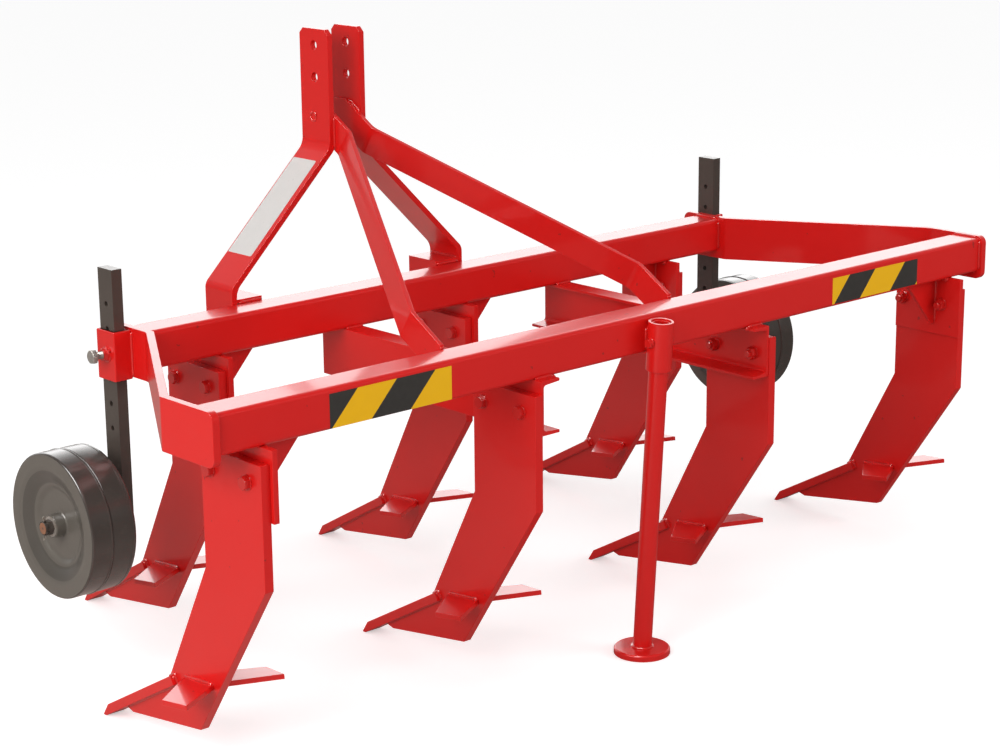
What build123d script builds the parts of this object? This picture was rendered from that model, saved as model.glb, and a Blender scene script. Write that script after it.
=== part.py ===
"""Mounted subsoiler: two toolbars, seven swept tines, an offset three point mast,
two gauge wheels and a parking stand. Millimetres, +X right, +Y forward, +Z up."""

from build123d import *
from math import atan2, cos, degrees, hypot, radians, sin, tan
import os

os.makedirs("parts", exist_ok=True)

LEFT = -1
RIGHT = 1

# Toolbars, square tube. The layout frame has y = 0 on the rear toolbar's rear face
# and z = 0 on the toolbars' undersides.
bar_side = 100
bar_wall = 6
bar_corner = 12
bar_pitch = 740
rear_bar_y = 0
front_bar_y = rear_bar_y + bar_pitch
front_bar_face_y = front_bar_y + bar_side
bar_mid_z = bar_side / 2

# Bent side plates that join the toolbars' ends
plate_t = 20
plate_rear_x = 1388
plate_front_x = 1066
plate_behind = 10
plate_rear_flat = 90
plate_front_flat = 20
plate_ahead = 44
plate_rear_end_y = rear_bar_y - plate_behind
plate_rear_bend_y = rear_bar_y + bar_side + plate_rear_flat
plate_front_bend_y = front_bar_y - plate_front_flat
plate_front_end_y = front_bar_face_y + plate_ahead
plate_bottom_z = -22
plate_top_z = 106
plate_corner = 22
plate_bend_in = 20

# Soil level that the tips and the stand's foot share
floor_z = -826

# Tines: bar frame, side of the bracket the shank is on, and centre of its bracket plate
rear_row_y = rear_bar_y
front_row_y = front_bar_y
outer_bracket_x = 1242.5
front_left_x = -825
front_middle_gap = 15
front_right_x = 830
channel_x = 418
bracket_t = 15
shank_t = 25

# Shank outline, y and z from the toolbar's rear lower edge
shank_rear_y = -25
shank_front_y = 203
shank_top_z = -34
rear_knee_z = -332
front_knee_z = -325
heel_y = 253
heel_z = -748
sole_front_y = 542
sole_front_z = -790
toe_y = 567
nose_y = 374

# Point bar in a notch under the shank's nose, its upper line from back to tip
point_width = 54
point_t = 24
point_back_y = 350
point_back_z = -634
point_tip_y = 634
point_tip_z = -793
point_end_y = 656

# Swept wings on both sides of a shank's foot
wing_t = 13
wing_front_reach = 150
wing_rear_reach = 140
wing_root_front_y = 310
wing_root_rear_y = 194
wing_tip_front_y = 203
wing_tip_rear_y = 118
wing_front_z = -627
wing_slope_share = 0.1

# Tine brackets
bracket_rear_y = -36
bracket_front_y = 194
bracket_bottom_z = -173
gusset_t = 12
gusset_y = 52
gusset_reach = 128
gusset_drop = 142
gusset_toe = 12

# Channels under the toolbars that carry the two inner rear tines
channel_height = 140
channel_flange = 60
channel_web_t = 7
channel_root_t = 12
channel_tip_t = 8
channel_root_r = 8
channel_rear_y = -22
channel_ahead = 5
channel_front_y = front_bar_face_y + channel_ahead

# Hitch: half the span over the lower pins' shoulders, pin height, top link holes
link_span_half = 412.5
link_shoulder_t = 12.5
link_z = 47
mast_height = 610
top_hole_pitch = 85
top_hole_r = 12.9

# Mast, two bent bars in front of the front toolbar
mast_x = -316
mast_width = 120
mast_t = 16
mast_top_half = 62
mast_foot_half = link_span_half - link_shoulder_t
mast_top_land = 44
mast_top_z = link_z + mast_height + top_hole_pitch + mast_top_land
mast_upper_bend_z = 474
mast_lower_bend_z = 140
mast_bottom_z = -40
mast_corner = 14
mast_bend_in = 30
mast_rear_y = front_bar_face_y
mast_front_y = mast_rear_y + mast_width
mast_mid_y = mast_rear_y + mast_width / 2

# Struts from the mast back to the rear toolbar
strut_width = 81
strut_t = 12
strut_slope_share = 0.607
strut_foot_z = 108
strut_foot_flat = 108
strut_head_flat = 55
strut_setback = 22
strut_lower_bend_y = rear_bar_y + bar_side + strut_foot_flat
strut_upper_bend_y = mast_rear_y - strut_head_flat
strut_end_y = mast_front_y - strut_setback
strut_end_z = 590
strut_foot_left_x = -639
strut_foot_right_x = 165
strut_bend_in = 30

# Lower link brackets and pins
link_bracket_depth = 84
cheek_half = mast_foot_half - link_bracket_depth
cheek_t = 12
cheek_bottom_z = 4
shelf_t = 10
link_r = 14.2
link_hole_gap = 0.3
link_shoulder_r = 24
link_free = 76
link_chamfer = 3

# Gauge wheels, their legs and sleeves, for each side the wheel's and the leg's height
wheel_r = 187
wheel_width = 130
wheel_outer_x = 1301
axle_ahead = 4
wheel_skin = 6
wheel_dish_r = 150
wheel_dish_floor_r = 118
wheel_dish = 16
hub_r = 30
hub_out = 2
axle_r = 15
axle_gap = 0.05
wheel_left_z = -372
wheel_right_z = -314
leg_top_left_z = 258
leg_top_right_z = 276
leg_ahead = 86
leg_y = front_bar_y + leg_ahead
wheel_y = leg_y + axle_ahead
leg_width = 62
leg_t = 30
leg_gap = 14
leg_below_axle = 38
leg_hole_r = 7
leg_hole_pitch = 64.3
leg_hole_count = 6
leg_first_hole = 90
sleeve_wall = 8
sleeve_play = 0.5
sleeve_bottom_z = -26
sleeve_top_z = 101
axle_collar_r = 26
axle_nut_r = 20
axle_nut_t = 14
axle_tail = 8
axle_weld = 5
axle_side_play = 1

# Parking stand, leant about the toolbar's middle height so that its foot stands forward
stand_x = -17
stand_y = -36
stand_lean_share = 0.066
stand_pad_half = 15
stand_pad_y = -12
stand_sleeve_r = 33
stand_sleeve_wall = 7
stand_sleeve_top_z = 88
stand_sleeve_bottom_z = -41
stand_tube_r = 25
stand_tube_wall = 5
stand_tube_top_z = 84
foot_r = 75
foot_t = 18
foot_edge = 4

# Row frame: origin on the floor under the middle of the whole machine's box, which the
# stand sleeve's top edge ends at the rear
stand_lean = atan2(stand_lean_share, 1)
stand_top_reach = (stand_sleeve_top_z - bar_mid_z) * sin(stand_lean)
reach_front_y = front_row_y + point_end_y
reach_rear_y = stand_y - stand_sleeve_r * cos(stand_lean) - stand_top_reach
shift_y = -(reach_front_y + reach_rear_y) / 2
to_row = Pos(0, shift_y, -floor_z)


def keep(name, solid):
    """Write one node in the row frame."""
    export_step(to_row * solid, "parts/" + name + ".step")


def block(x0, x1, y0, y1, z0, z1):
    """Box between two corners."""
    centre = Pos((x0 + x1) / 2, (y0 + y1) / 2, (z0 + z1) / 2)
    return centre * Box(abs(x1 - x0), abs(y1 - y0), abs(z1 - z0))


def side_prism(points, x0, x1):
    """Outline of (y, z) points extruded from x0 to x1."""
    face = make_face(Plane.YZ * Polyline(*points, close=True))
    return Pos(x0, 0, 0) * extrude(face, amount=x1 - x0, dir=(1, 0, 0))


def plan_prism(points, z0, z1):
    """Outline of (x, y) points extruded from z0 to z1."""
    face = make_face(Polyline(*points, close=True))
    return Pos(0, 0, z0) * extrude(face, amount=z1 - z0)


def lie(axis_dir):
    """Turn that lays an upright cylinder along +X."""
    return Rot(0, 90 * axis_dir, 0)


def rod_x(x0, x1, y, z, radius):
    """Cylinder along X."""
    return Pos((x0 + x1) / 2, y, z) * lie(RIGHT) * Cylinder(radius, abs(x1 - x0))


def rod_z(x, y, z0, z1, radius):
    """Cylinder along Z."""
    return Pos(x, y, (z0 + z1) / 2) * Cylinder(radius, abs(z1 - z0))


def shifted(path, distance):
    """Open path moved sideways to its left by a distance, corners mitred."""
    moved = []
    last = len(path) - 1
    for i, (u, v) in enumerate(path):
        before = path[max(i - 1, 0)]
        after = path[min(i + 1, last)]
        turn_in = atan2(v - before[1], u - before[0]) if i > 0 else None
        turn_out = atan2(after[1] - v, after[0] - u) if i < last else None
        angle_in = turn_in if turn_in is not None else turn_out
        angle_out = turn_out if turn_out is not None else turn_in
        middle = (angle_in + angle_out) / 2
        reach = distance / cos((angle_out - angle_in) / 2)
        moved.append((u - reach * sin(middle), v + reach * cos(middle)))
    return moved


def bent_face(plane, path, thickness, bend_in):
    """Bent strip of one thickness to the left of a path, with rounded bends."""
    other = shifted(path, thickness)
    outline = path + other[::-1]
    face = make_face(Polyline(*outline, close=True))
    for i in range(1, len(path) - 1):
        ahead = (path[i + 1][0] - path[i][0], path[i + 1][1] - path[i][1])
        behind = (path[i][0] - path[i - 1][0], path[i][1] - path[i - 1][1])
        left_turn = behind[0] * ahead[1] - behind[1] * ahead[0] > 0
        pairs = ((path[i], not left_turn), (other[i], left_turn))
        for (u, v), outside in pairs:
            radius = bend_in + thickness if outside else bend_in
            corner = face.vertices().sort_by_distance((u, v, 0))[0]
            face = fillet(corner, radius)
    return plane * face


def tube_x(half, y0):
    """Square tube along X with rounded outer corners."""
    outer = RectangleRounded(bar_side, bar_side, bar_corner)
    inner_side = bar_side - 2 * bar_wall
    ring = Plane.YZ * (outer - Rectangle(inner_side, inner_side))
    place = Pos(-half, y0 + bar_side / 2, bar_mid_z)
    return place * extrude(ring, amount=2 * half, dir=(1, 0, 0))


upright = Plane(origin=(0, 0, 0), x_dir=(1, 0, 0), z_dir=(0, -1, 0))


def mirrored(solid, side):
    """The part as drawn for the left side, or its mirror image about x = 0."""
    return solid if side == LEFT else mirror(solid, about=Plane.YZ)


# Toolbars
keep("front_bar", tube_x(plate_front_x - plate_t, front_bar_y))
keep("rear_bar", tube_x(plate_rear_x - plate_t, rear_bar_y))

# Side plates
plate_path = [
    (-plate_front_x, plate_front_end_y),
    (-plate_front_x, plate_front_bend_y),
    (-plate_rear_x, plate_rear_bend_y),
    (-plate_rear_x, plate_rear_end_y),
]
plate_face = bent_face(Plane.XY, plate_path, plate_t, plate_bend_in)
plate_height = plate_top_z - plate_bottom_z
side_plate = Pos(0, 0, plate_bottom_z) * extrude(plate_face, amount=plate_height)
side_plate = fillet(side_plate.edges().filter_by(Axis.X), plate_corner)
for side, word in ((LEFT, "left"), (RIGHT, "right")):
    keep("side_plate_" + word, mirrored(side_plate, side))

# Channels, web outside and open towards the middle
channel_tip_x = -channel_x + channel_flange
channel_root_x = -channel_x + channel_web_t
channel_roots = [
    (channel_root_x, -channel_root_t),
    (channel_root_x, channel_root_t - channel_height),
]
channel_outline = [
    (-channel_x, 0),
    (channel_tip_x, 0),
    (channel_tip_x, -channel_tip_t),
    channel_roots[0],
    channel_roots[1],
    (channel_tip_x, channel_tip_t - channel_height),
    (channel_tip_x, -channel_height),
    (-channel_x, -channel_height),
]
channel_face = make_face(Polyline(*channel_outline, close=True))
for x, z in channel_roots:
    root = channel_face.vertices().sort_by_distance((x, z, 0))[0]
    channel_face = fillet(root, channel_root_r)
channel_length = channel_front_y - channel_rear_y
channel = Pos(0, channel_rear_y, 0) * extrude(
    upright * channel_face, amount=channel_length, dir=(0, 1, 0)
)
for side, word in ((LEFT, "left"), (RIGHT, "right")):
    keep("channel_" + word, mirrored(channel, side))


def bracket(x_mid, y0, gusset_side):
    """Upright plate under a toolbar with a triangular gusset on one side."""
    rear = y0 + bracket_rear_y
    front = y0 + bracket_front_y
    low = bracket_bottom_z
    outline = [(rear, 0), (front, 0), (front, low), (rear, low)]
    half = bracket_t / 2
    plate = side_prism(outline, x_mid - half, x_mid + half)
    root = x_mid + gusset_side * half
    far = root + gusset_side * gusset_reach
    web = [
        (root, 0),
        (far, 0),
        (far, -gusset_toe),
        (root + gusset_side * gusset_toe, -gusset_drop),
        (root, -gusset_drop),
    ]
    web_face = make_face(Plane.XZ * Polyline(*web, close=True))
    gusset = Pos(0, y0 + gusset_y, 0) * extrude(web_face, amount=gusset_t, dir=(0, 1, 0))
    return plate + gusset


# Point bar's lines: the upper one runs from back to tip, the lower one beside it
point_slope = (point_tip_z - point_back_z) / (point_tip_y - point_back_y)
point_step = point_t / hypot(1, point_slope)
point_low_y = point_back_y + point_step * point_slope
point_low_z = point_back_z - point_step
nose_z = point_back_z + point_slope * (nose_y - point_back_y)
toe_z = point_low_z + point_slope * (toe_y - point_low_y)


def shank(x0, y0):
    """One swept shank, from its left face, with the point bar's notch under its nose."""
    outline = [
        (y0 + shank_rear_y, shank_top_z),
        (y0 + shank_front_y, shank_top_z),
        (y0 + shank_front_y, front_knee_z),
        (y0 + nose_y, nose_z),
        (y0 + point_back_y, point_back_z),
        (y0 + point_low_y, point_low_z),
        (y0 + toe_y, toe_z),
        (y0 + sole_front_y, sole_front_z),
        (y0 + heel_y, heel_z),
        (y0 + shank_rear_y, rear_knee_z),
    ]
    return side_prism(outline, x0, x0 + shank_t)


def point_bar(x_mid, y0):
    """Flat bar from the shank's notch down to the floor, its end bevelled."""
    floor_y = point_low_y + (floor_z - point_low_z) / point_slope
    outline = [
        (y0 + point_back_y, point_back_z),
        (y0 + point_low_y, point_low_z),
        (y0 + floor_y, floor_z),
        (y0 + point_end_y, floor_z),
        (y0 + point_tip_y, point_tip_z),
    ]
    half = point_width / 2
    return side_prism(outline, x_mid - half, x_mid + half)


def wing(x_face, y0, side):
    """Swept plate from one face of the shank, falling gently to its front."""
    front_x = x_face + side * (wing_front_reach - shank_t / 2)
    rear_x = x_face + side * (wing_rear_reach - shank_t / 2)
    outline = [
        (x_face, y0 + wing_root_rear_y),
        (x_face, y0 + wing_root_front_y),
        (front_x, y0 + wing_tip_front_y),
        (rear_x, y0 + wing_tip_rear_y),
    ]
    flat = plan_prism(outline, -wing_t, 0)
    pivot_y = y0 + wing_root_front_y
    tilt = -degrees(atan2(wing_slope_share, 1))
    lowered = Pos(0, pivot_y, wing_front_z) * Rot(tilt, 0, 0) * Pos(0, -pivot_y, 0)
    return lowered * flat


# Tine table: name, frame row, side of the carrier that the shank is on, carrier's face
# on that side, gusset side of its bracket or None
front_middle_x = mast_x + cheek_half + front_middle_gap
tines = (
    ("rear_1", rear_row_y, LEFT, -outer_bracket_x - bracket_t / 2, RIGHT),
    ("rear_2", rear_row_y, LEFT, -channel_x, None),
    ("rear_3", rear_row_y, RIGHT, channel_x, None),
    ("rear_4", rear_row_y, RIGHT, outer_bracket_x + bracket_t / 2, LEFT),
    ("front_1", front_row_y, LEFT, front_left_x - bracket_t / 2, RIGHT),
    ("front_2", front_row_y, LEFT, front_middle_x - bracket_t / 2, RIGHT),
    ("front_3", front_row_y, RIGHT, front_right_x + bracket_t / 2, LEFT),
)
for name, row_y, side, face_x, gusset_side in tines:
    middle_x = face_x + side * shank_t / 2
    left_x = middle_x - shank_t / 2
    keep("shank_" + name, shank(left_x, row_y))
    foot = Compound(
        children=[
            point_bar(middle_x, row_y),
            wing(left_x, row_y, LEFT),
            wing(left_x + shank_t, row_y, RIGHT),
        ]
    )
    keep("share_" + name, foot)
    if gusset_side is not None:
        keep("bracket_" + name, bracket(face_x - side * bracket_t / 2, row_y, gusset_side))

# Mast bars with the two top link holes
mast_path = [
    (-mast_top_half, mast_top_z),
    (-mast_top_half, mast_upper_bend_z),
    (-mast_foot_half, mast_lower_bend_z),
    (-mast_foot_half, mast_bottom_z),
]
mast_face = bent_face(Plane.XY, mast_path, mast_t, mast_bend_in)
mast_bar = Pos(0, mast_rear_y, 0) * extrude(
    upright * mast_face, amount=mast_width, dir=(0, 1, 0)
)
top_edges = mast_bar.edges().filter_by(Axis.X).group_by(Axis.Z)[-1]
mast_bar = chamfer(top_edges, mast_corner)
lower_hole_z = link_z + mast_height
for hole_z in (lower_hole_z, lower_hole_z + top_hole_pitch):
    mast_bar -= rod_x(-mast_top_half * 2, 0, mast_mid_y, hole_z, top_hole_r)
link_hole_r = link_r + link_hole_gap
mast_bar -= rod_x(-mast_foot_half * 2, -cheek_half, mast_mid_y, link_z, link_hole_r)
for side, word in ((LEFT, "left"), (RIGHT, "right")):
    keep("mast_bar_" + word, Pos(mast_x, 0, 0) * mirrored(mast_bar, side))

# Lower link brackets, an inner cheek and a shelf to the mast bar's foot
leg_inner = mast_foot_half - mast_t
cheek = block(-cheek_half, cheek_t - cheek_half, mast_rear_y, mast_front_y,
              cheek_bottom_z, bar_side)
shelf = block(-leg_inner, cheek_t - cheek_half, mast_rear_y, mast_front_y,
              bar_side, bar_side + shelf_t)
link_bracket = cheek + shelf
link_bracket -= rod_x(-mast_foot_half, 0, mast_mid_y, link_z, link_hole_r)
link_bracket_left = link_bracket

# Lower link pins
shoulder = rod_x(-link_span_half, -mast_foot_half, mast_mid_y, link_z, link_shoulder_r)
pin_end = -link_span_half - link_free
pin_inner = cheek_t - cheek_half
pin = rod_x(pin_end, pin_inner, mast_mid_y, link_z, link_r)
pin = chamfer(pin.edges().group_by(Axis.X)[0], link_chamfer)
link_pin = pin + shoulder
for side, word in ((LEFT, "left"), (RIGHT, "right")):
    keep("link_bracket_" + word, Pos(mast_x, 0, 0) * mirrored(link_bracket_left, side))
    keep("link_pin_" + word, Pos(mast_x, 0, 0) * mirrored(link_pin, side))


def strut(foot_x, head_x, thickness_side):
    """Flat bar bent at both ends, in the sloping plane of its upper edge."""
    slope = atan2(strut_slope_share, 1)
    along = 1 / cos(slope)
    start = -bar_side * along
    low_bend = (strut_lower_bend_y - bar_side) * along
    high_bend = (strut_upper_bend_y - bar_side) * along
    end = (strut_end_y + bar_side) * along
    path = [(start, foot_x), (low_bend, foot_x), (high_bend, head_x), (end, head_x)]
    local = [(u, -v) for u, v in path]
    face = bent_face(Plane.XY, local, strut_t * thickness_side, strut_bend_in)
    sheet = Plane(
        origin=(0, bar_side, strut_foot_z),
        x_dir=(0, cos(slope), sin(slope)),
        z_dir=(0, -sin(slope), cos(slope)),
    )
    solid = extrude(sheet * face, amount=strut_width, dir=(0, sin(slope), -cos(slope)))
    room = block(-plate_rear_x, plate_rear_x, bar_side, strut_end_y,
                 -bar_side, strut_end_z)
    return solid & room


strut_head = mast_top_half - mast_t
keep("strut_left", strut(strut_foot_left_x, mast_x - strut_head, LEFT))
keep("strut_right", strut(strut_foot_right_x, mast_x + strut_head, RIGHT))

# Gauge wheel sleeves, legs, axles and wheels
leg_inner_x = plate_front_x + leg_gap
leg_outer_x = leg_inner_x + leg_t
leg_rear_y = leg_y - leg_width / 2
leg_front_y = leg_y + leg_width / 2
for side, word, wheel_z, leg_top in (
    (LEFT, "left", wheel_left_z, leg_top_left_z),
    (RIGHT, "right", wheel_right_z, leg_top_right_z),
):
    leg = block(-leg_outer_x, -leg_inner_x, leg_rear_y, leg_front_y,
                wheel_z - leg_below_axle, leg_top)
    for i in range(leg_hole_count):
        hole_z = leg_top - leg_first_hole - i * leg_hole_pitch
        leg -= rod_x(-leg_outer_x - leg_t, -leg_inner_x + leg_t, leg_y, hole_z, leg_hole_r)
    hub_outer = -wheel_outer_x - hub_out
    hub_inner = -wheel_outer_x + wheel_width
    nut_in = hub_outer - axle_side_play
    nut_out = nut_in - axle_nut_t
    leg += rod_x(nut_out - axle_tail, axle_weld - leg_inner_x, wheel_y, wheel_z, axle_r)
    leg += rod_x(hub_inner + axle_side_play, -leg_outer_x, wheel_y, wheel_z, axle_collar_r)
    nut_face = Pos(nut_out, wheel_y, wheel_z) * (Plane.YZ * RegularPolygon(axle_nut_r, 6))
    leg += extrude(nut_face, amount=axle_nut_t, dir=(1, 0, 0))
    keep("gauge_leg_" + word, mirrored(leg, side))

    inner_x = -plate_front_x
    outer_x = -leg_outer_x - sleeve_play - sleeve_wall
    rear = leg_rear_y - sleeve_play - sleeve_wall
    front = leg_front_y + sleeve_play + sleeve_wall
    sleeve = block(outer_x, inner_x, rear, front, sleeve_bottom_z, sleeve_top_z)
    sleeve -= block(-leg_outer_x - sleeve_play, -leg_inner_x + sleeve_play,
                    leg_rear_y - sleeve_play, leg_front_y + sleeve_play,
                    sleeve_bottom_z - sleeve_wall, sleeve_top_z + sleeve_wall)
    keep("gauge_sleeve_" + word, mirrored(sleeve, side))

    half = wheel_width / 2
    hub_x = -half - hub_out
    dish_x = wheel_dish - half
    room_outer_x = dish_x + wheel_skin
    room_leg_x = half - wheel_skin
    skin_r = wheel_r - wheel_skin
    bore_r = axle_r + axle_gap
    outside = [
        (-half, wheel_r), (half, wheel_r), (half, bore_r), (hub_x, bore_r),
        (hub_x, hub_r), (dish_x, hub_r), (dish_x, wheel_dish_floor_r),
        (-half, wheel_dish_r),
    ]
    inside = [
        (room_outer_x, hub_r), (room_leg_x, hub_r),
        (room_leg_x, skin_r), (room_outer_x, skin_r),
    ]
    wheel_face = make_face(Polyline(*outside, close=True))
    wheel_face -= make_face(Polyline(*inside, close=True))
    wheel_mid_x = half - wheel_outer_x
    wheel = Pos(wheel_mid_x, wheel_y, wheel_z) * revolve(wheel_face, Axis.X)
    keep("gauge_wheel_" + word, mirrored(wheel, side))

# Parking stand, its sleeve and tube drawn upright and then leant
tilted = Pos(0, stand_y, bar_mid_z) * Rot(degrees(stand_lean), 0, 0)
tilted *= Pos(0, -stand_y, -bar_mid_z)
sleeve_tube = rod_z(stand_x, stand_y, stand_sleeve_bottom_z, stand_sleeve_top_z, stand_sleeve_r)
bore = rod_z(stand_x, stand_y, stand_sleeve_bottom_z - foot_t, stand_sleeve_top_z + foot_t,
             stand_sleeve_r - stand_sleeve_wall)
pad = block(stand_x - stand_pad_half, stand_x + stand_pad_half, stand_pad_y, rear_bar_y,
            stand_sleeve_bottom_z + bar_side / 2, stand_sleeve_top_z - foot_t)
keep("stand_sleeve", tilted * sleeve_tube + pad - tilted * bore)
foot_y = stand_y + (bar_mid_z - floor_z) * stand_lean_share
foot = rod_z(stand_x, foot_y, floor_z, floor_z + foot_t, foot_r)
foot = chamfer(foot.edges().group_by(Axis.Z)[-1], foot_edge)
tube = rod_z(stand_x, stand_y, floor_z, stand_tube_top_z, stand_tube_r)
tube -= rod_z(stand_x, stand_y, floor_z - foot_t, stand_tube_top_z + foot_t,
              stand_tube_r - stand_tube_wall)
above_foot = block(stand_x - foot_r, stand_x + foot_r, stand_y - foot_r, foot_y + foot_r,
                   floor_z + foot_t / 2, stand_tube_top_z + foot_t)
keep("stand_leg", (tilted * tube & above_foot) + foot)
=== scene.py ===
import bpy
import random
from math import cos, pi, radians, sin
from mathutils import Matrix, Vector


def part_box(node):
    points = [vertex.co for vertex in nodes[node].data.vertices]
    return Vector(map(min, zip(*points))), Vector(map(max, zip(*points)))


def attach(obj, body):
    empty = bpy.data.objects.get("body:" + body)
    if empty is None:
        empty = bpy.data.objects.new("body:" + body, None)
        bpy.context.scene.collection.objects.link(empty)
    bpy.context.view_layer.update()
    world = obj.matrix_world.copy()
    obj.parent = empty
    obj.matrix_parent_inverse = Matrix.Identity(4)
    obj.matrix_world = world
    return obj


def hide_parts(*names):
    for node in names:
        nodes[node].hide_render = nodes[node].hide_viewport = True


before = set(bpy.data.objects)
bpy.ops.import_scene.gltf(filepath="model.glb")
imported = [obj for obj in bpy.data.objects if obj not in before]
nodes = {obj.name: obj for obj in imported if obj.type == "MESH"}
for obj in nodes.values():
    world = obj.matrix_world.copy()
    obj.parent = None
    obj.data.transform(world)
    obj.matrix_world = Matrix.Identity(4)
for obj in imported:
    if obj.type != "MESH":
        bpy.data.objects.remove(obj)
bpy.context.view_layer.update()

random.seed(11)

# ---------------------------------------------------------------- places
# Layout places are in mm from the rear toolbar's rear face and underside.
BAR_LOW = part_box("rear_bar")[0]
BAR_SIDE = 100
FRONT_Y = 740
MAST_X = -316.0
STAND_X = -17.0
STAND_Y = -36.0
STAND_LEAN = 0.066
LEG_Y = 826.0
SIDES = (("left", -1), ("right", 1))


def at(x, y, z):
    """A layout place in mm as a place in the row frame in metres."""
    return Vector((x / 1000, BAR_LOW.y + y / 1000, BAR_LOW.z + z / 1000))


# ---------------------------------------------------------------- camera
CAMERA_PLACE = (-4202.2, -4045.0, 1468.8)
CAMERA_AZIMUTH = 42.219
CAMERA_DIP = 14.796
CAMERA_ROLL = -0.532
CAMERA_LENS = 84.22
CAMERA_SENSOR = 36
CAMERA_SHIFT = (-0.0013, 0.0032)
CAMERA_REACH = 200


def set_camera():
    """The photo's camera, as fitted to the toolbars' and the mast's edges."""
    az = radians(CAMERA_AZIMUTH)
    dip = radians(CAMERA_DIP)
    roll = radians(CAMERA_ROLL)
    look = Vector((cos(dip) * sin(az), cos(dip) * cos(az), -sin(dip)))
    level_right = Vector((cos(az), -sin(az), 0))
    level_up = level_right.cross(look)
    right = level_right * cos(roll) + level_up * sin(roll)
    up = -level_right * sin(roll) + level_up * cos(roll)
    data = bpy.data.cameras.new("Camera")
    data.lens = CAMERA_LENS
    data.sensor_width = CAMERA_SENSOR
    data.shift_x, data.shift_y = CAMERA_SHIFT
    data.clip_end = CAMERA_REACH
    cam = bpy.data.objects.new("Camera", data)
    bpy.context.scene.collection.objects.link(cam)
    turn = Matrix((right, up, -look)).transposed().to_4x4()
    cam.matrix_world = Matrix.Translation(at(*CAMERA_PLACE)) @ turn
    bpy.context.scene.camera = cam


set_camera()

# ---------------------------------------------------------------- shader nodes
# Sockets of a colour mix node: the factor, both colours and the result.
MIX_FACTOR, MIX_A, MIX_B = 0, 6, 7
MIX_RESULT = 2
BLACK_STOP = (0, 0, 0)
WHITE_STOP = (1, 1, 1)


def tree(name):
    """A new material with its node tree and its Principled shader."""
    mat = bpy.data.materials.new(name)
    mat.use_nodes = True
    nt = mat.node_tree
    return mat, nt, nt.nodes["Principled BSDF"]


def rgba(colour):
    return colour if len(colour) == 4 else (*colour, 1)


def coords(nt):
    """Object coordinates, from one node in each tree."""
    tc = nt.nodes.get("coords")
    if tc is None:
        tc = nt.nodes.new("ShaderNodeTexCoord")
        tc.name = "coords"
    return tc.outputs["Object"]


def noise(nt, scale, detail, rough=0.55):
    n = nt.nodes.new("ShaderNodeTexNoise")
    n.inputs["Scale"].default_value = scale
    n.inputs["Detail"].default_value = detail
    n.inputs["Roughness"].default_value = rough
    nt.links.new(coords(nt), n.inputs["Vector"])
    return n.outputs["Fac"]


def ramp(nt, fac, stops):
    r = nt.nodes.new("ShaderNodeValToRGB")
    elements = r.color_ramp.elements
    while len(elements) < len(stops):
        elements.new(0.5)
    for element, (position, colour) in zip(elements, stops):
        element.position = position
        element.color = rgba(colour)
    nt.links.new(fac, r.inputs["Fac"])
    return r.outputs["Color"]


def mix(nt, fac, a, b, blend="MIX"):
    """Two colours mixed by a factor, each a value or a socket."""
    m = nt.nodes.new("ShaderNodeMix")
    m.data_type = "RGBA"
    m.blend_type = blend
    m.clamp_factor = blend != "ADD"
    for index, value in ((MIX_FACTOR, fac), (MIX_A, a), (MIX_B, b)):
        socket = m.inputs[index]
        if isinstance(value, bpy.types.NodeSocket):
            nt.links.new(value, socket)
        elif isinstance(value, tuple):
            socket.default_value = rgba(value)
        else:
            socket.default_value = value
    return m.outputs[MIX_RESULT]


def mapped(nt, value, from_min=0.0, from_max=1.0, to_min=0.0, to_max=1.0):
    m = nt.nodes.new("ShaderNodeMapRange")
    m.inputs["From Min"].default_value = from_min
    m.inputs["From Max"].default_value = from_max
    m.inputs["To Min"].default_value = to_min
    m.inputs["To Max"].default_value = to_max
    nt.links.new(value, m.inputs["Value"])
    return m.outputs["Result"]


def span(nt, fac, low, high):
    """A factor of 0 to 1 as a value from low to high."""
    return mapped(nt, fac, to_min=low, to_max=high)


def bump(nt, bsdf, height, strength, distance):
    b = nt.nodes.new("ShaderNodeBump")
    b.inputs["Strength"].default_value = strength
    b.inputs["Distance"].default_value = distance
    nt.links.new(height, b.inputs["Height"])
    nt.links.new(b.outputs["Normal"], bsdf.inputs["Normal"])


def finish(nt, bsdf, base, rough, **constants):
    """Base colour and roughness from sockets, other inputs as constants."""
    nt.links.new(base, bsdf.inputs["Base Color"])
    if isinstance(rough, float):
        bsdf.inputs["Roughness"].default_value = rough
    else:
        nt.links.new(rough, bsdf.inputs["Roughness"])
    for key, value in constants.items():
        bsdf.inputs[key.replace("_", " ")].default_value = value


# ---------------------------------------------------------------- materials
FINE = 0.0003
COARSE = 0.0006
SPECK = (0.16, 0.02, 0.015)
DUST = (0.20, 0.17, 0.14)
RUST_TONES = ((0.34, 0.15, 0.08), (0.18, 0.085, 0.05))


def gloss_red(name, light=(0.66, 0.009, 0.007), dark=(0.60, 0.007, 0.006), grain=0.03, coat=0.40):
    """Sprayed gloss enamel: slight tone drift, orange peel, a few dark specks."""
    mat, nt, p = tree(name)
    base = mix(nt, noise(nt, 2.2, 4), dark, light)
    speck = ramp(nt, noise(nt, 46.0, 2, 0.4), [(0.755, BLACK_STOP), (0.775, WHITE_STOP)])
    base = mix(nt, span(nt, speck, 0.0, 0.6), base, SPECK)
    finish(nt, p, base, span(nt, noise(nt, 9.0, 5), 0.31, 0.38),
           Coat_Weight=coat, Coat_Roughness=0.08, IOR=1.42)
    bump(nt, p, noise(nt, 300.0, 2), grain, FINE)
    return mat


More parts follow.
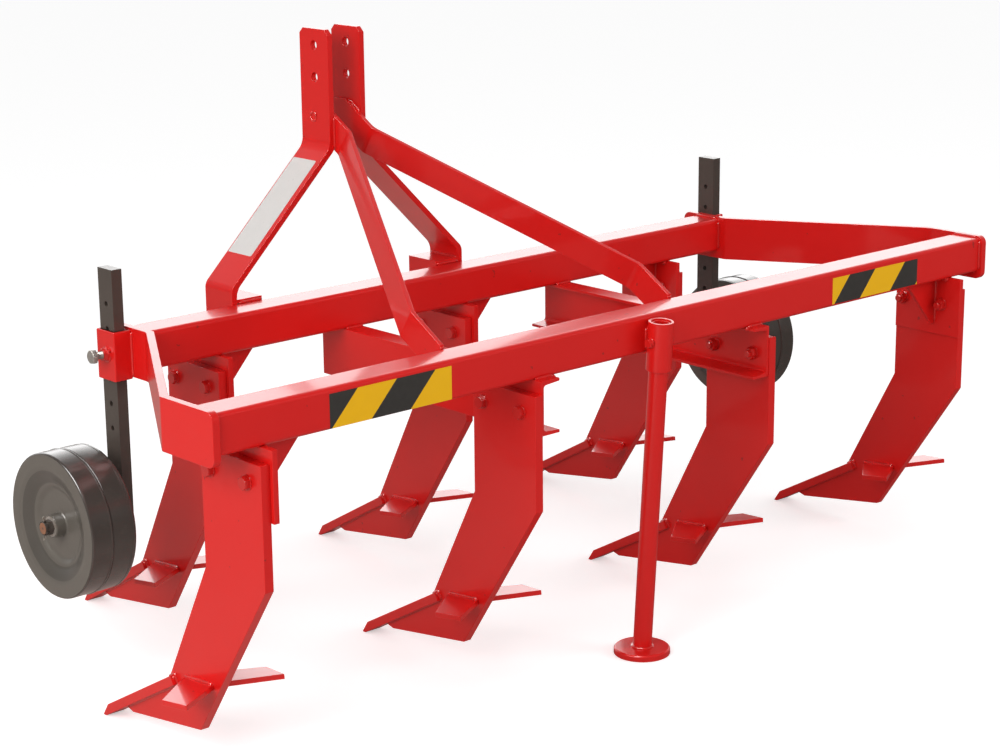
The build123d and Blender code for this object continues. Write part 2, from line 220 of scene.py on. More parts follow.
def dark_satin(name, tone, tone2, rough=(0.34, 0.50)):
    """Black-brown satin paint with faint dust and a cast grain."""
    mat, nt, p = tree(name)
    base = mix(nt, noise(nt, 7.0, 5), tone, tone2)
    dust = ramp(nt, noise(nt, 30.0, 8, 0.75), [(0.55, BLACK_STOP), (0.85, WHITE_STOP)])
    base = mix(nt, span(nt, dust, 0.0, 0.16), base, DUST)
    finish(nt, p, base, span(nt, noise(nt, 24.0, 5), *rough),
           Coat_Weight=0.35, Coat_Roughness=0.16)
    bump(nt, p, noise(nt, 420.0, 3), 0.12, FINE)
    return mat


def zinc(name, tone=(0.42, 0.40, 0.37), stain=(0.26, 0.22, 0.18)):
    """Zinc plated or bare steel with faint stains."""
    mat, nt, p = tree(name)
    stains = ramp(nt, noise(nt, 60.0, 6, 0.7), [(0.4, BLACK_STOP), (0.75, WHITE_STOP)])
    finish(nt, p, mix(nt, stains, tone, stain), span(nt, noise(nt, 110.0, 4), 0.30, 0.50),
           Metallic=0.6)
    bump(nt, p, noise(nt, 500.0, 2), 0.3, FINE)
    return mat


def rust(name):
    """Cut steel that has turned brown."""
    mat, nt, p = tree(name)
    finish(nt, p, mix(nt, noise(nt, 130.0, 7, 0.7), *RUST_TONES), 0.6, Metallic=0.25)
    bump(nt, p, noise(nt, 350.0, 5), 0.5, COARSE)
    return mat


def film(name, tone, shade, rough=0.35):
    """Printed sticker film with slight wear at random spots."""
    mat, nt, p = tree(name)
    finish(nt, p, mix(nt, noise(nt, 45.0, 6, 0.7), tone, shade),
           span(nt, noise(nt, 90.0, 3), rough - 0.08, rough + 0.08), Specular_IOR_Level=0.3)
    bump(nt, p, noise(nt, 180.0, 2), 0.08, FINE)
    return mat


RED = gloss_red("Red gloss paint")
RED_BOLT = gloss_red("Red paint on bolts", (0.62, 0.012, 0.010), (0.50, 0.008, 0.006), 0.15, 0.7)
RED_WELD = gloss_red("Red paint on welds", (0.64, 0.012, 0.010), (0.52, 0.008, 0.006), 0.2, 1.0)
BLACK_LEG = dark_satin("Black satin paint", (0.050, 0.038, 0.031), (0.068, 0.054, 0.045))
BLACK_TREAD = dark_satin(
    "Black wheel paint", (0.044, 0.036, 0.031), (0.064, 0.054, 0.047), (0.18, 0.25))
# Painted light: a lighter copy of the wheel's black paint, for the light that the wheel's face
# catches
WHEEL_PAINT_LIT = dark_satin(
    "Wheel paint with painted light", (0.096, 0.084, 0.070), (0.124, 0.110, 0.093), (0.31, 0.40))
# Painted shade: a darker copy of the wheel's paint, for the shade in the dish's recess
WHEEL_PAINT_SHADED = dark_satin(
    "Wheel paint with painted shade", (0.064, 0.056, 0.047), (0.084, 0.074, 0.063), (0.31, 0.40))
ZINC = zinc("Zinc plating")
PIN_STEEL = zinc("Hitch pin steel", (0.50, 0.46, 0.42), (0.25, 0.17, 0.11))
RUST = rust("Brown axle steel")
YELLOW = film("Yellow film", (0.80, 0.43, 0.003), (0.76, 0.40, 0.003))
BLACK = film("Black film", (0.030, 0.028, 0.026), (0.050, 0.045, 0.040))
WHITE = film("Pale film", (0.68, 0.66, 0.64), (0.62, 0.60, 0.58), 0.3)

# ---------------------------------------------------------------- mesh makers
SPLIT_ANGLE = 35
WELD_SPLIT_ANGLE = 80
MERGE = 0.00002


def piece(name, verts, faces, mats, body, smooth=True, slots=None, slot="red_paint"):
    """A mesh piece in the row frame that rides on a body."""
    mesh = bpy.data.meshes.new(name)
    mesh.from_pydata([tuple(v) for v in verts], [], faces)
    for mat in mats:
        mesh.materials.append(mat)
    for i, p in enumerate(mesh.polygons):
        p.use_smooth = smooth
        if slots is not None:
            p.material_index = slots[i]
    mesh.update()
    obj = bpy.data.objects.new(name, mesh)
    bpy.context.scene.collection.objects.link(obj)
    if smooth:
        split = obj.modifiers.new("Split", "EDGE_SPLIT")
        split.split_angle = radians(SPLIT_ANGLE)
    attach(obj, body)
    return obj


def merge_close(obj):
    weld = obj.modifiers.new("Weld", "WELD")
    weld.merge_threshold = MERGE


def even_normals(obj):
    even = obj.modifiers.new("Even", "WEIGHTED_NORMAL")
    even.keep_sharp = False


def frame_of(axis):
    """Two unit vectors square to an axis and to each other."""
    axis = axis.normalized()
    side = Vector((0, 0, 1)) if abs(axis.z) < 0.9 else Vector((0, 1, 0))
    u = axis.cross(side).normalized()
    return u, axis.cross(u).normalized()


def around(centre, axis, h, r, a):
    """The place at height h and radius r, both in mm, and at angle a about a unit axis."""
    u, w = frame_of(axis)
    return centre + axis * (h / 1000) + (u * cos(a) + w * sin(a)) * (r / 1000)


def bands(rings, segs):
    """Quads between successive rings of segs vertices, and both end faces."""
    faces = []
    for i in range(rings - 1):
        for k in range(segs):
            a = i * segs + k
            b = i * segs + (k + 1) % segs
            faces.append([a, b, b + segs, a + segs])
    faces.append(list(range(segs - 1, -1, -1)))
    faces.append([(rings - 1) * segs + k for k in range(segs)])
    return faces


def turned(profile, centre, axis, segs=48, close_ends=True):
    """A profile of (distance along axis, radius), both in mm, turned about the axis."""
    axis = axis.normalized()
    verts, faces, rings = [], [], []
    for h, r in profile:
        first = len(verts)
        if r <= 1e-6:
            verts.append(centre + axis * (h / 1000))
        else:
            verts += [around(centre, axis, h, r, 2 * pi * k / segs) for k in range(segs)]
        rings.append(list(range(first, len(verts))))
    for a, b in zip(rings, rings[1:]):
        n, m = len(a), len(b)
        for k in range(max(n, m)):
            quad = [a[k % n], a[(k + 1) % n], b[(k + 1) % m], b[k % m]]
            faces.append(list(dict.fromkeys(quad)))
    if close_ends:
        if len(rings[0]) > 1:
            faces.append(rings[0][::-1])
        if len(rings[-1]) > 1:
            faces.append(rings[-1])
    return verts, faces


def hexed(h0, h1, across, centre, axis, crown=0.12, spin=0.0):
    """Hexagon prism with a rounded crown at h1, sizes in mm."""
    axis = axis.normalized()
    corner = across / 2 / cos(pi / 6)
    crown_r = across / 2 * 0.96
    verts = []
    for h, r, is_round in (
        (h0, corner, False), (h1 - (h1 - h0) * crown * 1.6, corner, False), (h1, crown_r, True),
    ):
        for k in range(12):
            at_corner = is_round or k % 2 == 0
            q = r if at_corner else r * cos(pi / 6)
            verts.append(around(centre, axis, h, q, spin + pi * k / 6))
    return verts, bands(3, 12)


def swept(path, radii, segs):
    """A round rod along a path of places, with a radius in mm at each, ends closed."""
    verts = []
    for i, (p, r) in enumerate(zip(path, radii)):
        t = (path[min(i + 1, len(path) - 1)] - path[max(i - 1, 0)]).normalized()
        u, w = frame_of(t)
        for k in range(segs):
            a = 2 * pi * k / segs
            verts.append(p + (u * cos(a) + w * sin(a)) * (r / 1000))
    return verts, bands(len(path), segs)


def tube(path, radius, segs=10):
    return swept(path, [radius] * len(path), segs)


BEAD_RIPPLE = 4.2
BEAD_STEP = 2.2


def bead(path, radius):
    """A weld bead along a path of places: overlapping scales, slightly uneven."""
    places = []
    for a, b in zip(path, path[1:]):
        n = max(2, int((b - a).length * 1000 / BEAD_STEP))
        places += [a.lerp(b, i / n) for i in range(n)]
    places.append(path[-1])
    radii = []
    dist = 0.0
    phase = random.random() * 6
    swell = 1.0
    for i, p in enumerate(places):
        if i:
            dist += (p - places[i - 1]).length * 1000
        scale = 0.5 + 0.5 * abs(sin(pi * dist / BEAD_RIPPLE + phase))
        to_end = min(i, len(places) - 1 - i)
        cap = min(1.0, 0.35 + to_end * 0.3)
        swell = 0.85 * swell + 0.15 * random.uniform(0.75, 1.3)
        radii.append(radius * cap * swell * (0.86 + 0.14 * scale))
    return swept(places, radii, 8)


def joined(parts):
    verts, faces = [], []
    for v, f in parts:
        base = len(verts)
        verts += v
        faces += [[i + base for i in q] for q in f]
    return verts, faces


def welds(name, seams, body="frame"):
    """One piece from seams: each a radius and layout places in mm."""
    parts = [bead([at(*q) for q in places], radius) for radius, places in seams]
    obj = piece(name, *joined(parts), [RED_WELD], body)
    obj.modifiers["Split"].split_angle = radians(WELD_SPLIT_ANGLE)


def seam_x(radius, x0, x1, y, z):
    return radius, [(x0, y, z), (x1, y, z)]


def seam_y(radius, x, y0, y1, z):
    return radius, [(x, y0, z), (x, y1, z)]


def seam_z(radius, x, y, z0, z1):
    return radius, [(x, y, z0), (x, y, z1)]


# ---------------------------------------------------------------- CAD nodes: finish and edges
FLAT_ANGLE = 0.5
BEVEL_ANGLE = 28
PLAIN_BEVEL = (0.0013, 2)
NODE_BEVELS = {"link_pin": (0.0008, 3), "gauge_sleeve": (0.0038, 3)}
NODE_PAINTS = {"gauge_leg": BLACK_LEG, "link_pin": PIN_STEEL, "gauge_wheel": BLACK_TREAD}

for name, obj in nodes.items():
    kind = name.rsplit("_", 1)[0]
    obj.data.materials.clear()
    obj.data.materials.append(NODE_PAINTS.get(kind, RED))
    for p in obj.data.polygons:
        p.use_smooth = True
    merge_close(obj)
    flat = obj.modifiers.new("Flat", "DECIMATE")
    flat.decimate_type = "DISSOLVE"
    flat.angle_limit = radians(FLAT_ANGLE)
    bevel = obj.modifiers.new("Bevel", "BEVEL")
    bevel.width, bevel.segments = NODE_BEVELS.get(kind, PLAIN_BEVEL)
    bevel.limit_method = "ANGLE"
    bevel.angle_limit = radians(BEVEL_ANGLE)
    bevel.harden_normals = False
    even_normals(obj)

# ---------------------------------------------------------------- stage and light
FLOOR_HALF = 30.0
FLOOR_DROP = 0.0005
FLOOR_TONE = (0.82, 0.82, 0.82)
FLOOR_BOUNCE = (0.62, 0.62, 0.62)
FLOOR_GLOW = 0.45
WARM = (1.0, 0.86, 0.78)
VIEW_AHEAD = (0.672, 0.741, 0)
SOFTBOX_WAY = (-0.571, 0.0, 0.821)
SOFTBOX_GAIN = 4.0
SKY_SOFT = 0.62
SKY_GLOSSY = 3.6
NEUTRAL = (1, 1, 1)


def grey(v, tint=NEUTRAL):
    return (v * tint[0], v * tint[1], v * tint[2], 1)


def along(nt, vector, direction):
    """How far a vector reaches along a direction."""
    dot = nt.nodes.new("ShaderNodeVectorMath")
    dot.operation = "DOT_PRODUCT"
    dot.inputs[1].default_value = direction
    nt.links.new(vector, dot.inputs[0])
    return dot.outputs["Value"]


def stage_floor():
    """A pale floor that glows a little for the camera and is toned for gloss and bounce."""
    s = FLOOR_HALF
    mesh = bpy.data.meshes.new("floor")
    mesh.from_pydata([(-s, -s, 0), (s, -s, 0), (s, s, 0), (-s, s, 0)], [], [[0, 1, 2, 3]])
    mat = bpy.data.materials.new("Pale floor")
    mat.use_nodes = True
    nt = mat.node_tree
    nt.nodes.clear()
    out = nt.nodes.new("ShaderNodeOutputMaterial")
    rays = nt.nodes.new("ShaderNodeLightPath")
    diffuse = nt.nodes.new("ShaderNodeBsdfDiffuse")
    # painted light and shade on the floor, which only gloss sees: darker to the right and behind,
    # lighter to the left
    side = mapped(nt, along(nt, coords(nt), (-0.7, 0.7, 0)), -2.0, 2.0)
    in_gloss = ramp(nt, side, [
        (0.0, grey(0.10, WARM)), (0.42, grey(0.22, WARM)), (0.66, grey(0.62, WARM)),
        (1.0, grey(0.42, WARM)),
    ])
    tone = mix(nt, rays.outputs["Is Glossy Ray"], FLOOR_TONE, in_gloss)
    tone = mix(nt, rays.outputs["Is Diffuse Ray"], tone, FLOOR_BOUNCE)
    nt.links.new(tone, diffuse.inputs["Color"])
    glow = nt.nodes.new("ShaderNodeEmission")
    glow.inputs["Color"].default_value = grey(1)
    level = nt.nodes.new("ShaderNodeMath")
    level.operation = "MULTIPLY"
    level.inputs[1].default_value = FLOOR_GLOW
    nt.links.new(rays.outputs["Is Camera Ray"], level.inputs[0])
    nt.links.new(level.outputs[0], glow.inputs["Strength"])
    add = nt.nodes.new("ShaderNodeAddShader")
    nt.links.new(diffuse.outputs[0], add.inputs[0])
    nt.links.new(glow.outputs[0], add.inputs[1])
    nt.links.new(add.outputs[0], out.inputs["Surface"])
    mesh.materials.append(mat)
    obj = bpy.data.objects.new("floor", mesh)
    bpy.context.scene.collection.objects.link(obj)
    obj.location.z = -FLOOR_DROP


def backdrop(nt, strength, colour):
    shader = nt.nodes.new("ShaderNodeBackground")
    shader.inputs["Strength"].default_value = strength
    if isinstance(colour, tuple):
        shader.inputs["Color"].default_value = colour
    else:
        nt.links.new(colour, shader.inputs["Color"])
    return shader.outputs[0]


def chosen(nt, ray, otherwise, on_ray):
    """One shader for a kind of ray, another for the rest."""
    choice = nt.nodes.new("ShaderNodeMixShader")
    nt.links.new(ray, choice.inputs[0])
    nt.links.new(otherwise, choice.inputs[1])
    nt.links.new(on_ray, choice.inputs[2])
    return choice.outputs[0]


def studio_world():
    """Even light for diffuse rays, white for the camera, a shaped studio for gloss."""
    world = bpy.data.worlds.new("Studio")
    bpy.context.scene.world = world
    world.use_nodes = True
    nt = world.node_tree
    nt.nodes.clear()
    out = nt.nodes.new("ShaderNodeOutputWorld")
    way = nt.nodes.new("ShaderNodeTexCoord").outputs["Generated"]
    # what gloss shows: a bright backdrop beyond the machine, dark behind the camera
    ahead = ramp(nt, mapped(nt, along(nt, way, VIEW_AHEAD), -1.0, 1.0), [
        (0.0, grey(0.04)), (0.55, grey(0.04)), (0.68, grey(0.09)), (0.80, grey(0.40)),
        (0.93, grey(0.92)),
    ])
    height = ramp(nt, along(nt, way, (0, 0, 1)), [
        (0.0, grey(0.30)), (0.10, grey(0.65)), (0.22, grey(1.0)), (0.45, grey(0.75)),
        (0.75, grey(0.30)), (1.0, grey(0.45)),
    ])
    both = mix(nt, 1.0, ahead, height, "MULTIPLY")
    # a small softbox above the left shoulder, which only edges and beads catch
    box = ramp(nt, along(nt, way, SOFTBOX_WAY), [(0.90, grey(0.0)), (0.96, grey(1.0))])
    studio = mix(nt, SOFTBOX_GAIN, both, box, "ADD")
    rays = nt.nodes.new("ShaderNodeLightPath")
    unseen = chosen(nt, rays.outputs["Is Glossy Ray"],
                    backdrop(nt, SKY_SOFT, grey(1)), backdrop(nt, SKY_GLOSSY, studio))
    everything = chosen(nt, rays.outputs["Is Camera Ray"], unseen, backdrop(nt, 1.0, grey(1)))
    nt.links.new(everything, out.inputs["Surface"])


def lamp(name, place, target, size, power):
    """An area lamp that neither the camera nor gloss sees."""
    data = bpy.data.lights.new(name, "AREA")
    data.shape = "RECTANGLE"
    data.size, data.size_y = size
    data.energy = power
    obj = bpy.data.objects.new(name, data)
    obj.location = place
    obj.rotation_euler = (Vector(target) - Vector(place)).to_track_quat("-Z", "Y").to_euler()
    bpy.context.scene.collection.objects.link(obj)
    obj.visible_camera = False
    obj.visible_glossy = False


stage_floor()
studio_world()
lamp("Key", (-5.5, -1.5, 3.1), (0, 0, 0.4), (4.0, 3.0), 205)
lamp("Fill", (3.5, -6.0, 3.5), (0, 0, 0.5), (3.5, 2.5), 150)

bpy.context.scene.view_settings.view_transform = "Standard"

# ---------------------------------------------------------------- tine bolts
FULL_BOLT = 30.0  # mm over the flats of the bolt that the sizes below belong to
WASHER_R = 18.5
WASHER_EDGE_R = 17.9
WASHER_T = 3.0
HEAD_T = 12.5
NUT_T = 16.0
THREAD_R = 10.0
TAIL = 9.0


def washer(place, out, size):
    profile = [(0, WASHER_R * size), (2.4, WASHER_R * size), (WASHER_T, WASHER_EDGE_R * size)]
    return turned(profile, place, out, 32)


def bolt(name, place, out, spin, grip=None, across=FULL_BOLT):
    """Hexagon bolt head on its washer and, over a grip in mm, nut and thread end behind."""
    size = across / FULL_BOLT
    parts = [
        washer(place, out, size),
        hexed(WASHER_T, WASHER_T + HEAD_T * size, across, place, out, spin=spin),
    ]
    if grip:
        back = place - out.normalized() * (grip / 1000)
        end = 17 * size + TAIL
        parts += [
            washer(back, -out, size),
            hexed(WASHER_T, WASHER_T + NUT_T * size, across, back, -out, spin=spin + 0.4),
            turned([(0, THREAD_R * size), (end, THREAD_R * size), (end + 1.5 * size, 8.6 * size)],
                   back, -out, 24),
        ]
    piece(name, *joined(parts), [RED_BOLT], "frame")


SHANK_T = 25
SHANK_HALF = 12.5
BRACKET_T = 15
CHANNEL_T = 7
BRACKET_HALF = 7.5
BOLT_Z = -82
BOLT_YS = (28.0, 168.0)
# tine, its toolbar's rear face, its middle, the side of its bolt heads, if on a bracket
TINES = (
    ("rear_1", 0.0, -1262.5, -1, True), ("rear_2", 0.0, -430.5, -1, False),
    ("rear_3", 0.0, 430.5, 1, False), ("rear_4", 0.0, 1262.5, 1, True),
    ("front_1", 740.0, -845.0, -1, True), ("front_2", 740.0, -5.0, -1, True),
    ("front_3", 740.0, 850.0, 1, True),
)
for tine, row_y, middle, side, has_bracket in TINES:
    grip = SHANK_T + (BRACKET_T if has_bracket else CHANNEL_T)
    for i, y in enumerate(BOLT_YS):
        bolt(f"bolt_{tine}_{i + 1}", at(middle + side * SHANK_HALF, row_y + y, BOLT_Z),
             Vector((side, 0, 0)), random.uniform(0, pi / 3), grip)

# ---------------------------------------------------------------- hazard stripes
FILM_T = 0.45
BEYOND = 200  # mm, how far the outermost bands start past the sticker's ends


def clip(poly, limit, keep_above):
    """Part of a polygon on one side of an upright line."""
    out = []
    for i, p in enumerate(poly):
        q = poly[(i + 1) % len(poly)]
        inside_p = p[0] >= limit if keep_above else p[0] <= limit
        inside_q = q[0] >= limit if keep_above else q[0] <= limit
        if inside_p:
            out.append(p)
        if inside_p != inside_q:
            t = (limit - p[0]) / (q[0] - p[0])
            out.append((p[0] + t * (q[0] - p[0]), p[1] + t * (q[1] - p[1])))
    return out


def stripes(name, x0, x1, z0, z1, cuts, first, lean):
    """Sticker on the rear toolbar: slanted bands between cuts measured at mid height."""
    reach = lean * (z1 - (z0 + z1) / 2)
    edges = [x0 - BEYOND, *cuts, x1 + BEYOND]
    verts, faces, slots = [], [], []
    for i, (a, b) in enumerate(zip(edges, edges[1:])):
        poly = [(a - reach, z0), (b - reach, z0), (b + reach, z1), (a + reach, z1)]
        poly = clip(clip(poly, x0, True), x1, False)
        n = len(poly)
        if n < 3:
            continue
        base = len(verts)
        for depth in (0.0, FILM_T):
            verts += [at(px, -depth, pz) for px, pz in poly]
        faces.append([base + n + k for k in range(n)])
        for k in range(n):
            j = (k + 1) % n
            faces.append([base + k, base + j, base + n + j, base + n + k])
        slots += [(first + i) % 2] * (n + 1)
    piece(name, verts, faces, [BLACK, YELLOW], "frame", smooth=False, slots=slots)


stripes("stripes_left", -1058, -691, 4, 86, (-1014, -898, -780), 0, 0.95)
stripes("stripes_right", 704, 1077, 8, 82, (744, 855, 987, 1102), 1, 0.87)

# ---------------------------------------------------------------- label
LABEL_T = 0.3
LABEL_CORNER = 5.0
MAST_BAR_SLOPE = Vector((-338.0, 0, -334.0)).normalized()
MAST_BEND = Vector((MAST_X - 62.0, 0, 474.0))


def label(name, corners):
    """A blank film on a flat face: corners in order, in layout mm, rounded."""
    places = [at(*c) for c in corners]
    normal = (places[1] - places[0]).cross(places[2] - places[1]).normalized()
    rim = []
    for i, p in enumerate(places):
        a = (places[i - 1] - p).normalized() * (LABEL_CORNER / 1000)
        b = (places[(i + 1) % 4] - p).normalized() * (LABEL_CORNER / 1000)
        for t in (0.0, 0.25, 0.5, 0.75, 1.0):
            rim.append(p + a * (1 - t) ** 2 + b * t ** 2)
    n = len(rim)
    verts = rim + [p + normal * (LABEL_T / 1000) for p in rim]
    faces = [[n + i for i in range(n)]]
    faces += [[i, (i + 1) % n, n + (i + 1) % n, n + i] for i in range(n)]
    piece(name, verts, faces, [WHITE], "frame", smooth=False)


near = MAST_BEND + MAST_BAR_SLOPE * 48
far = MAST_BEND + MAST_BAR_SLOPE * 369
label("label_blank", [
    (near.x, 858, near.z), (near.x, 956, near.z), (far.x, 956, far.z), (far.x, 855, far.z),
])

# ---------------------------------------------------------------- welds
PROUD = 0.5  # mm, how far a bead's middle stands off the face or end it follows
BAR_TOP = BAR_SIDE + PROUD
FRONT_FACE = FRONT_Y + BAR_SIDE + PROUD
REAR_END_X = 1367.5
FRONT_END_X = 1045.5
SLEEVE_X = 1066.5
POINT_SLOPE = -0.56


def tine_seams(row_y, x, side):
    """The seams on one flank of a shank, where the point bar, its seat and a wing meet it."""
    point = [(x, row_y + y, -654.9 + POINT_SLOPE * (y - 338.3)) for y in (344.0, 552.0)]
    return [
        (5.5, [(x, row_y + 373, -647), (x, row_y + 350, -633), (x, row_y + 338, -655)]),
        (4.0, point),
        (5.5, [(x, row_y + 197, -616), (x, row_y + 308, -627)]),
        (8.0, [(x + side * 3, row_y + 196, -620), (x + side * 3, row_y + 206, -621)]),
        (8.0, [(x + side * 5, row_y + 344, -640), (x + side * 5, row_y + 356, -644)]),
        (4.5, [(x, row_y + 200, -630), (x, row_y + 300, -640)]),
    ]


for tine, row_y, middle, side, has_bracket in TINES:
    welds("welds_tine_" + tine,
          tine_seams(row_y, middle - SHANK_HALF, -1) + tine_seams(row_y, middle + SHANK_HALF, 1))

for tine, row_y, middle, side, has_bracket in TINES:
    if not has_bracket:
        continue
    plate = middle - side * (SHANK_HALF + BRACKET_HALF)
    root = plate - side * BRACKET_HALF
    seams = [seam_y(5.0, plate + s * 8, row_y + 8, row_y + 92, 0) for s in (-1, 1)]
    seams.append(seam_y(8.0, root - side * 2, row_y + 6, row_y + 26, -4))
    for y in (row_y + 51, row_y + 65):
        seams.append(seam_z(4.0, root, y, -8, -134))
        seams.append(seam_x(4.0, root - side * 6, root - side * 122, y, -PROUD))
    welds("welds_bracket_" + tine, seams)

for word, s in SIDES:
    rear, front, sleeve = s * REAR_END_X, s * FRONT_END_X, s * SLEEVE_X
    welds("welds_end_" + word, [
        seam_z(5.0, rear, -PROUD, 8, 92),
        seam_y(5.0, rear, 10, 90, BAR_TOP),
        seam_y(5.0, rear, 10, 90, -PROUD),
        seam_y(5.0, front, 750, 830, BAR_TOP),
        seam_z(5.0, front, FRONT_FACE, 10, 90),
        seam_z(5.0, front, FRONT_Y - PROUD, 10, 90),
        seam_z(4.5, sleeve, 786.5, -20, 95),
        seam_z(4.5, sleeve, 865.5, -20, 95),
    ])
    welds("welds_channel_" + word, [
        seam_x(5.0, s * 417, s * 360, y, 1.5) for y in (3, 97, 743, 837)
    ] + [seam_x(7.0, s * 350, s * 364, 3, -3)])
    cheek_out, cheek_in = MAST_X + s * 400.5, MAST_X + s * 383.5
    bar_flank = MAST_X + s * 62.0
    plug = [(bar_flank, 908 + 12 * cos(k * pi / 10), 551 + 12 * sin(k * pi / 10))
            for k in range(21)]
    welds("welds_mast_" + word, [
        seam_z(5.0, cheek_out, FRONT_FACE, -2, 96),
        seam_z(5.0, cheek_in, FRONT_FACE, 6, 94),
        seam_y(4.5, cheek_in, 846, 954, 110.5),
        seam_x(4.5, MAST_X + s * 380, MAST_X + s * 306, 838, 102),
        (4.5, [(MAST_X + s * 45.5, 842, 558.5), (MAST_X + s * 45.5, 890, 587.5)]),
        seam_z(4.5, MAST_X + s * 46.5, 839.5, 470, 552),
        (3.0, plug),
    ])

for word, edge, inward in (
    ("left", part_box("strut_left")[0].x * 1000, 1),
    ("right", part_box("strut_right")[1].x * 1000, -1),
):
    far_edge = edge + inward * 12
    welds("welds_strut_" + word, [
        seam_z(4.5, edge, 101, 34, 96),
        seam_z(4.5, far_edge, 101, 34, 96),
        seam_x(4.0, edge, far_edge, 100, 101),
    ])

welds("welds_stand_sleeve", [
    seam_z(4.5, STAND_X + s * 15.5, -PROUD, 12, 66) for s in (-1, 1)
])
FOOT_Y = STAND_Y + 858 * STAND_LEAN
welds("welds_stand_foot", [(4.5, [
    (STAND_X + 26 * cos(k * pi / 12), FOOT_Y + 26 * sin(k * pi / 12), -807)
    for k in range(25)
])], "stand")

# ---------------------------------------------------------------- bolts on the sleeves
THREAD_PITCH = 2.5
THREAD_DEPTH = 1.1
CLAMP_Z = 42
CLAMP_X = 1118.5


def threaded(h0, h1, r):
    """Profile of a threaded rod from h0 to h1, in mm."""
    profile = [(h0, r)]
    h = h0 + THREAD_PITCH / 2
    while h < h1 - THREAD_PITCH:
        profile += [(h, r), (h + THREAD_PITCH / 2, r - THREAD_DEPTH)]
        h += THREAD_PITCH
    return profile + [(h1, r)]


for word, s in SIDES:
    out = Vector((s, 0, 0))
    place = at(s * CLAMP_X, LEG_Y - 6, CLAMP_Z)
    piece("clamp_nut_" + word, *hexed(0, 15, 32, place, out, 0.2, 0.3), [RED_WELD], "frame")
    ring = [
        place + Vector((s * 0.001, 0.0175 * cos(k * pi / 9), 0.0175 * sin(k * pi / 9)))
        for k in range(19)
    ]
    piece("clamp_weld_" + word, *bead(ring, 3.5), [RED_WELD], "frame")
    clamp = joined([
        turned(threaded(12, 37, 9.6), place, out, 28),
        turned([(35, 14.0), (36.2, 16.6), (37, 16.6)], place, out, 32),
        hexed(37, 49, 33, place, out, 0.14, 0.15),
    ])
    piece("clamp_bolt_" + word, *clamp, [ZINC], "frame", slot="bare_steel")

for word, s, across, spin in (("bolt", -1, 22.0, 0.2), ("nut", 1, 20.0, 0.4)):
    bolt("stand_cross_" + word, at(STAND_X + s * 32.5, STAND_Y + 2, 36), Vector((s, 0, 0)), spin,
         across=across)

# ---------------------------------------------------------------- linch pins
LINK_Y = 900
PIN_Z = 47.0
LINCH_X = 468.5
for word, s in SIDES:
    x = MAST_X + s * LINCH_X
    loop = [
        at(x + s * 2, LINK_Y + 24 * cos(a), PIN_Z + 4 + 21 * sin(a))
        for a in [pi * (0.5 + 2 * k / 28) for k in range(29)]
    ]
    head = at(x, LINK_Y, PIN_Z + 24)
    linch = joined([
        tube([at(x, LINK_Y, PIN_Z - 24), at(x, LINK_Y, PIN_Z - 22), head], 5.0, 14),
        turned([(-4, 7.0), (-3, 8.0), (3, 8.0), (4, 7.0)], head, Vector((0, 0, 1)), 20),
        tube(loop, 1.9, 8),
    ])
    piece("linch_pin_" + word, *linch, [ZINC], "frame", slot="bare_steel")

# ---------------------------------------------------------------- gauge wheels and axle ends
# (distance outward from the wheel's middle, radius) in mm, hub, dish, face, tread, inner side
WHEEL_PROFILE = [
    (67, 15.3), (67, 28.5), (66, 30), (42.5, 30), (39, 31.5), (37.4, 34), (37, 38), (37, 80),
    (37.3, 86), (38.4, 90), (40.6, 93.5), (44, 98.5), (46.2, 103), (47.2, 108), (47.9, 112),
    (49.6, 115.5), (53, 122), (57.5, 132), (61.4, 142), (63.4, 147.5), (64.6, 151.5),
    (65, 156), (65, 180.5), (64.5, 183.4), (63, 185.6), (60.8, 186.8), (58, 187), (11, 187),
    (9.6, 188.3), (7.4, 188.9), (5.4, 188.2), (4.4, 185.2), (3.2, 184.6), (2.0, 185.2),
    (1.0, 187), (-50, 187), (-51, 186.0), (-53, 186.0), (-54, 187), (-60.5, 186.4),
    (-63.8, 184), (-65, 180), (-65, 156), (-63.8, 150), (-61, 144), (-56, 133), (-51.6, 122),
    (-49.6, 114), (-49, 108), (-49, 34), (-49.6, 31.5), (-51, 30), (-64.5, 30), (-65, 29.5),
    (-65, 15.3), (67, 15.3),
]
WHEEL_SEGS = 128
WHEEL_MIDDLE_X = 1.236
TREAD_EDGE = 183.0
PAINTED_SHADE_RADII = (111, 145)
LIT_PAINT_SLOT, TREAD_SLOT, SHADED_PAINT_SLOT = 0, 1, 2


def wheel(word, s):
    """The wheel in place of its CAD node; gives its centre."""
    low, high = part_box("gauge_wheel_" + word)
    centre = (low + high) / 2
    centre.x = s * WHEEL_MIDDLE_X
    v, f = turned(WHEEL_PROFILE, centre, Vector((s, 0, 0)), WHEEL_SEGS, close_ends=False)
    slots = []
    # the tread keeps the plain black paint; all but the tread and the dish wall take the lighter
    # copy, as painted light
    for (h0, r0), (h1, r1) in zip(WHEEL_PROFILE, WHEEL_PROFILE[1:]):
        if min(r0, r1) >= TREAD_EDGE:
            slot = TREAD_SLOT
        # the dish wall between these radii takes the darker copy, as painted shade in the recess
        elif PAINTED_SHADE_RADII[0] < r1 < PAINTED_SHADE_RADII[1]:
            slot = SHADED_PAINT_SLOT
        else:
            slot = LIT_PAINT_SLOT
        slots += [slot] * WHEEL_SEGS
    obj = piece("wheel_" + word, v, f, [WHEEL_PAINT_LIT, BLACK_TREAD, WHEEL_PAINT_SHADED],
                "gauge_wheel_" + word + "_body", slots=slots, slot="black_wheel")
    obj.modifiers.remove(obj.modifiers["Split"])
    merge_close(obj)
    even_normals(obj)
    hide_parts("gauge_wheel_" + word)
    return centre


CROWN_R = (15.4, 18.6)
CROWN_H = (-0.5, 6.5)
CROWN_ARC = (0.22, 0.83)
CROWN_STEPS = 4


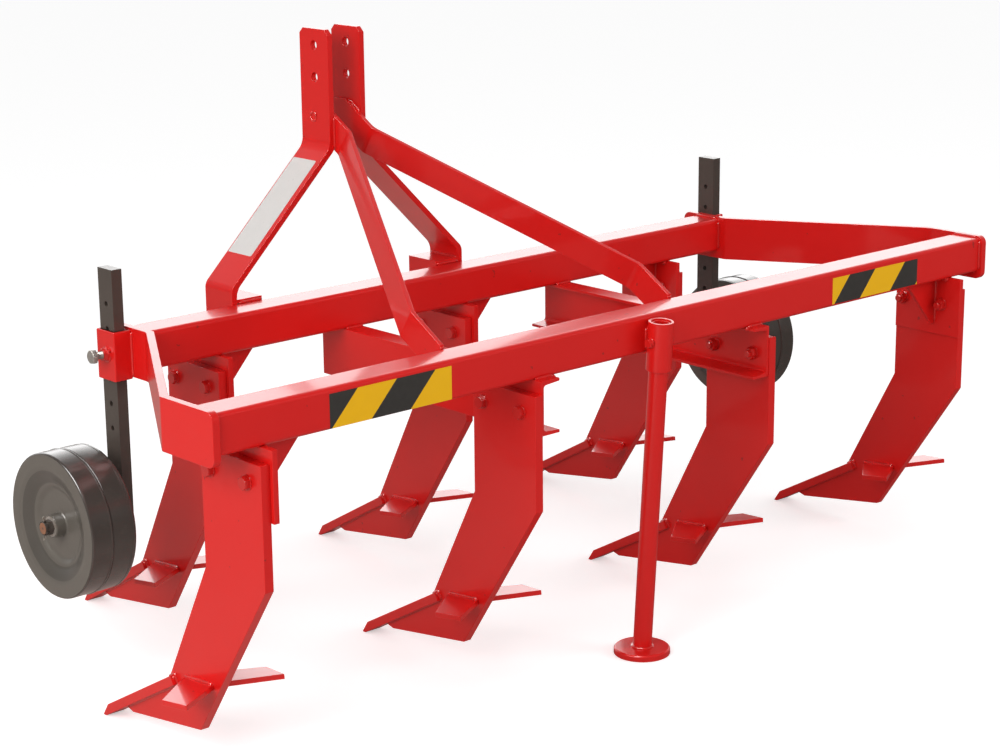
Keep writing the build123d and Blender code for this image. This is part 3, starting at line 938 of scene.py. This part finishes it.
def crown_block(turn, centre, axis):
    """One merlon of a castle nut's crown, turned about the axis."""
    start, end = (turn + a for a in CROWN_ARC)
    n = CROWN_STEPS + 1
    verts = [
        around(centre, axis, h, r, start + (end - start) * k / CROWN_STEPS)
        for h in CROWN_H for r in CROWN_R for k in range(n)
    ]
    faces = []
    for k in range(CROWN_STEPS):
        faces += [
            [k, k + 1, n + k + 1, n + k], [2 * n + k, 3 * n + k, 3 * n + k + 1, 2 * n + k + 1],
            [k, 2 * n + k, 2 * n + k + 1, k + 1], [n + k, n + k + 1, 3 * n + k + 1, 3 * n + k],
        ]
    faces += [[0, n, 3 * n, 2 * n], [n - 1, 3 * n - 1, 4 * n - 1, 2 * n - 1]]
    return verts, faces


NUT_FACE_X = 1.318
SPLIT_PIN_R = 1.3
AXLE_END = [(-1, 14.9), (8.0, 14.9), (8.7, 14.0), (8.7, 4.0), (6.5, 1.2), (6.3, 0)]
AXLE_WASHER = [(-14.9, 26.0), (-14.1, 26.0)]

for word, s in SIDES:
    hub = wheel(word, s)
    out = Vector((s, 0, 0))
    body = "gauge_leg_" + word + "_body"
    nut_face = Vector((s * NUT_FACE_X, hub.y, hub.z))
    crown = joined([crown_block(k * pi / 3, nut_face, out) for k in range(6)])
    piece("castle_crown_" + word, *crown, [BLACK_TREAD], body, smooth=False, slot="black_wheel")
    piece("axle_end_" + word, *turned(AXLE_END, nut_face, out, 40), [RUST], body,
          slot="bare_steel")
    eye = nut_face + out * 0.0035
    parts = [
        tube([
            eye + Vector((side * 0.0012, 0, 0.024)), eye + Vector((side * 0.0012, 0, -0.019)),
            eye + Vector((side * 0.0035, side * 0.002, -0.024)),
            eye + Vector((side * 0.006, side * 0.005, -0.029)),
        ], SPLIT_PIN_R, 8)
        for side in (-1, 1)
    ]
    parts.append(tube([
        eye + Vector((0.0025 * cos(a), 0, 0.0265 + 0.0038 * sin(a)))
        for a in [pi * (-0.5 + 2 * k / 16) for k in range(17)]
    ], SPLIT_PIN_R, 8))
    piece("split_pin_" + word, *joined(parts), [PIN_STEEL], body, slot="bare_steel")
    piece("axle_washer_" + word, *turned(AXLE_WASHER, nut_face, out, 40), [PIN_STEEL], body,
          slot="bare_steel")
